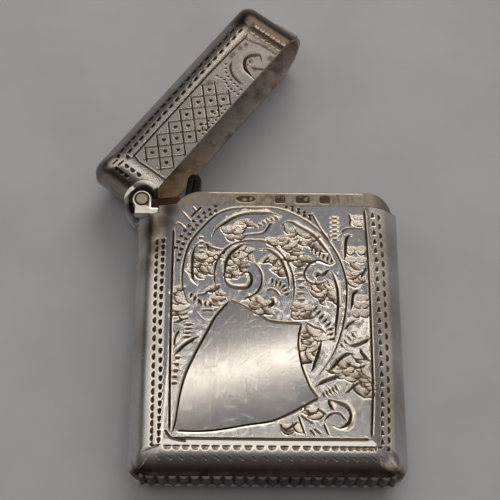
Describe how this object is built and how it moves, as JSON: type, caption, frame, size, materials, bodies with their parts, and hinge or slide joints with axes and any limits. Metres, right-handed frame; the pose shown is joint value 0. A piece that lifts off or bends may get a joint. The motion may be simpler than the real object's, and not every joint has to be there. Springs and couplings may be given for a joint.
{
  "type": "vesta case",
  "caption": "Engraved silver pocket match safe with a sprung lid hinged at one upper corner, a lined mouth and a serrated striker along its base.",
  "frame": {"origin": "middle of the flat back, on the plane the case lies on", "axes": "+X to the right seen from the front, +Y from the striker towards the lid, +Z out of the engraved front"},
  "size_m": [0.0448, 0.0756, 0.0095],
  "materials": {
    "engraved_silver": "engraved silver, worn bright on the edges and tarnished in the cuts",
    "plain_silver": "plain worn silver with light tarnish",
    "striker_silver": "serrated silver, dark in the grooves",
    "rim_silver": "silver with warm brown tarnish",
    "hinge_silver": "plain polished silver",
    "pin_brass": "pale worn brass",
    "spring_steel": "blackened spring steel"
  },
  "bodies": {
    "case": {"body_front_shell": "engraved_silver", "body_back_shell": "plain_silver", "striker_plate": "striker_silver", "mouth_rim": "rim_silver", "hinge_lug_front": "hinge_silver", "hinge_lug_rear": "hinge_silver", "hinge_pin": "pin_brass", "spring_saddle": "plain_silver", "lid_spring": "spring_steel", "spring_rivet_upper": "spring_steel", "spring_rivet_lower": "spring_steel"},
    "lid": {"lid_front_shell": "engraved_silver", "lid_back_shell": "plain_silver", "hinge_hood": "hinge_silver", "lid_knuckle": "hinge_silver", "thumb_catch": "hinge_silver"}
  },
  "joints": [
    {"name": "lid_hinge", "type": "hinge", "parent": "case", "child": "lid", "pos_m": [-0.01834, 0.01886, 0.00475], "axis": [0, 0, 1], "range_deg": [-52.8, 0]}
  ]
}
